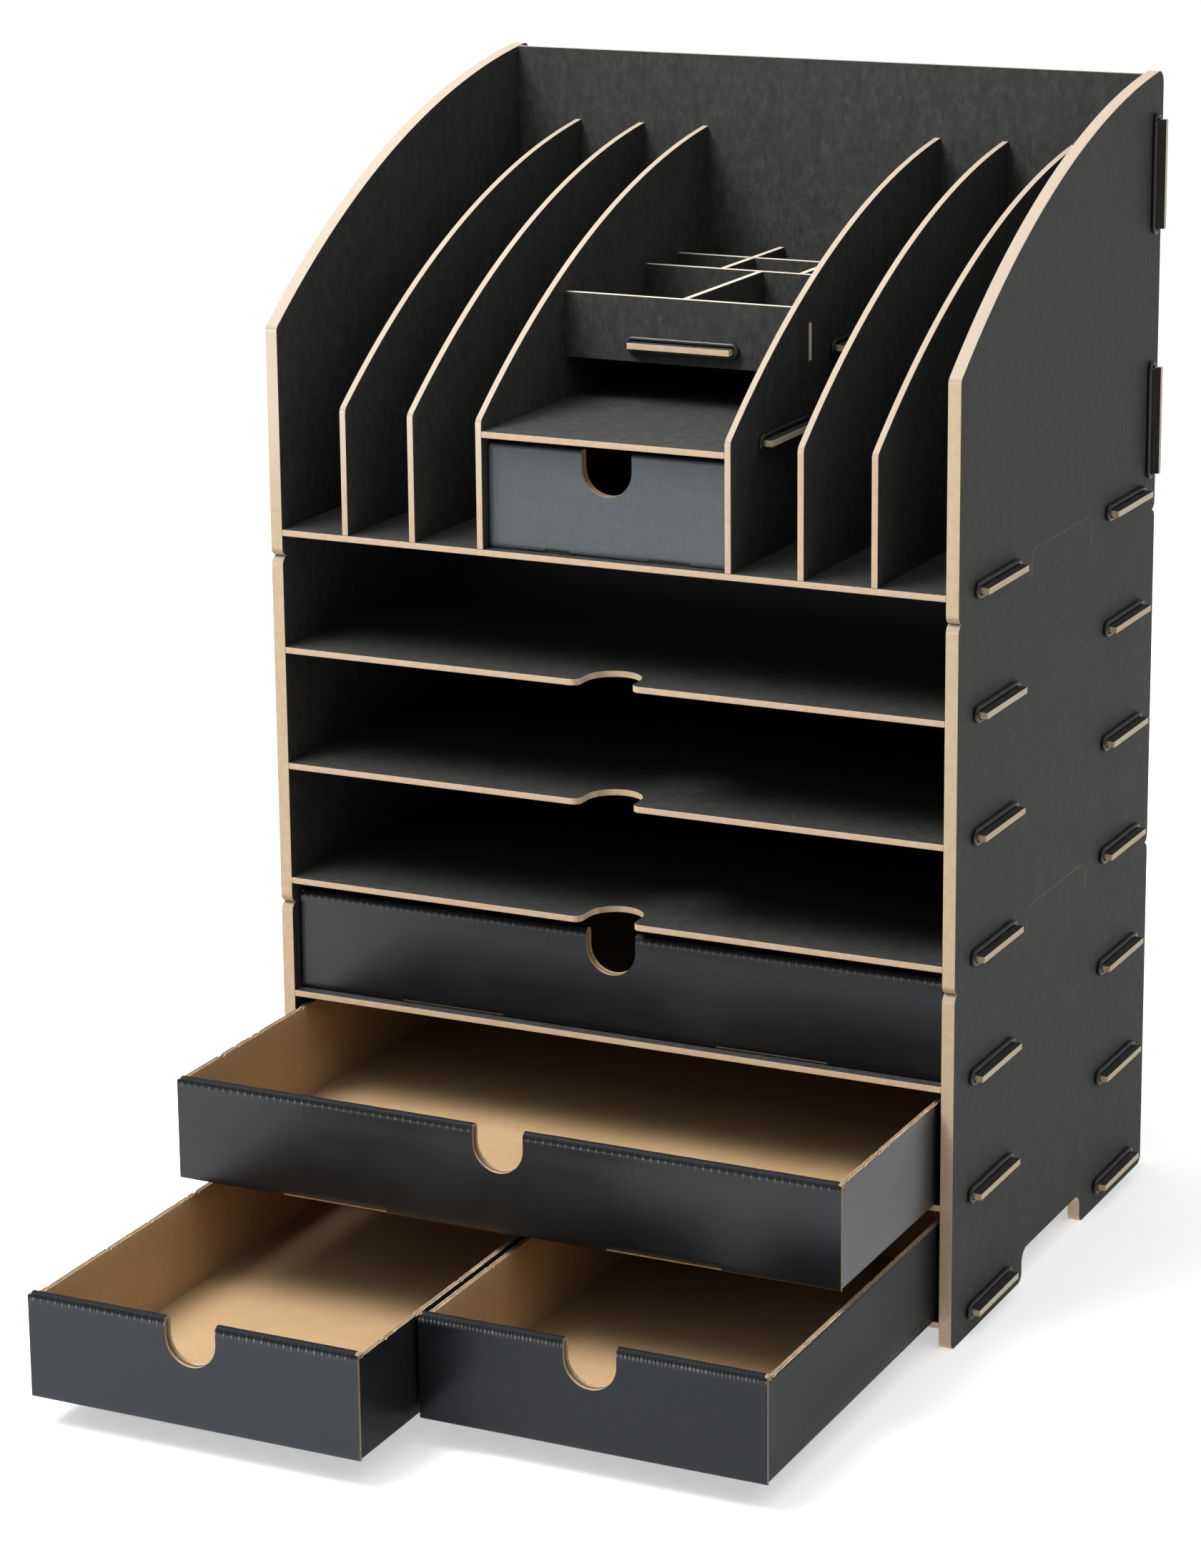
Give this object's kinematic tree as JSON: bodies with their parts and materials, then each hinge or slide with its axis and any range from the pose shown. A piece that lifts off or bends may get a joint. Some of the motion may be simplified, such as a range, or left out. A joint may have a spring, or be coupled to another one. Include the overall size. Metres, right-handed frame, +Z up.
{
  "type": "stacked desk organizer with drawers",
  "caption": "Slot-together black board desk organizer: a drawer box, a letter tray and a curved sorter with a small drawer and parts tray, stacked.",
  "frame": {"origin": "on the floor under the middle of the footprint, with the drawers pulled out as they stand at rest", "axes": "+X to the right seen from the front, -Y to the front where the drawers come out, +Z up"},
  "size_m": [0.348, 0.491, 0.5395],
  "materials": {
    "fibreboard": "matte black face, raw edges",
    "card": "satin black outside, brown inside",
    "rubber": "satin black"
  },
  "bodies": {
    "case": {"bay_rings": "rubber", "bay_shelf": "fibreboard", "bay_wall_left": "fibreboard", "bay_wall_right": "fibreboard", "divider_left_inner": "fibreboard", "divider_left_outer": "fibreboard", "divider_right_inner": "fibreboard", "divider_right_outer": "fibreboard", "drawer_box_back": "fibreboard", "drawer_box_rings": "rubber", "drawer_box_shelf_high": "fibreboard", "drawer_box_shelf_low": "fibreboard", "drawer_box_shelf_middle": "fibreboard", "drawer_box_side_left": "fibreboard", "drawer_box_side_right": "fibreboard", "parts_partition_front": "fibreboard", "parts_partition_left": "fibreboard", "parts_partition_right": "fibreboard", "parts_tray_floor": "fibreboard", "parts_tray_front": "fibreboard", "parts_tray_middle": "fibreboard", "parts_tray_rear": "fibreboard", "sorter_back": "fibreboard", "sorter_floor": "fibreboard", "sorter_rings": "rubber", "sorter_side_left": "fibreboard", "sorter_side_right": "fibreboard", "tray_back": "fibreboard", "tray_rings": "rubber", "tray_shelf_high": "fibreboard", "tray_shelf_low": "fibreboard", "tray_shelf_middle": "fibreboard", "tray_side_left": "fibreboard", "tray_side_right": "fibreboard"},
    "wide_drawer_upper": {"wide_drawer_upper": "card"},
    "wide_drawer_lower": {"wide_drawer_lower": "card"},
    "half_drawer_left": {"half_drawer_left": "card"},
    "half_drawer_right": {"half_drawer_right": "card"},
    "small_drawer": {"small_drawer": "card"}
  },
  "joints": [
    {"name": "wide_drawer_upper_slide", "type": "slide", "parent": "case", "child": "wide_drawer_upper", "axis": [0, -1, 0], "range_m": [0, 0.241]},
    {"name": "wide_drawer_lower_slide", "type": "slide", "parent": "case", "child": "wide_drawer_lower", "axis": [0, -1, 0], "range_m": [-0.114, 0.127]},
    {"name": "half_drawer_left_slide", "type": "slide", "parent": "case", "child": "half_drawer_left", "axis": [0, -1, 0], "range_m": [-0.239, 0.002]},
    {"name": "half_drawer_right_slide", "type": "slide", "parent": "case", "child": "half_drawer_right", "axis": [0, -1, 0], "range_m": [-0.1905, 0.0505]},
    {"name": "small_drawer_slide", "type": "slide", "parent": "case", "child": "small_drawer", "axis": [0, -1, 0], "range_m": [0, 0.233]}
  ]
}
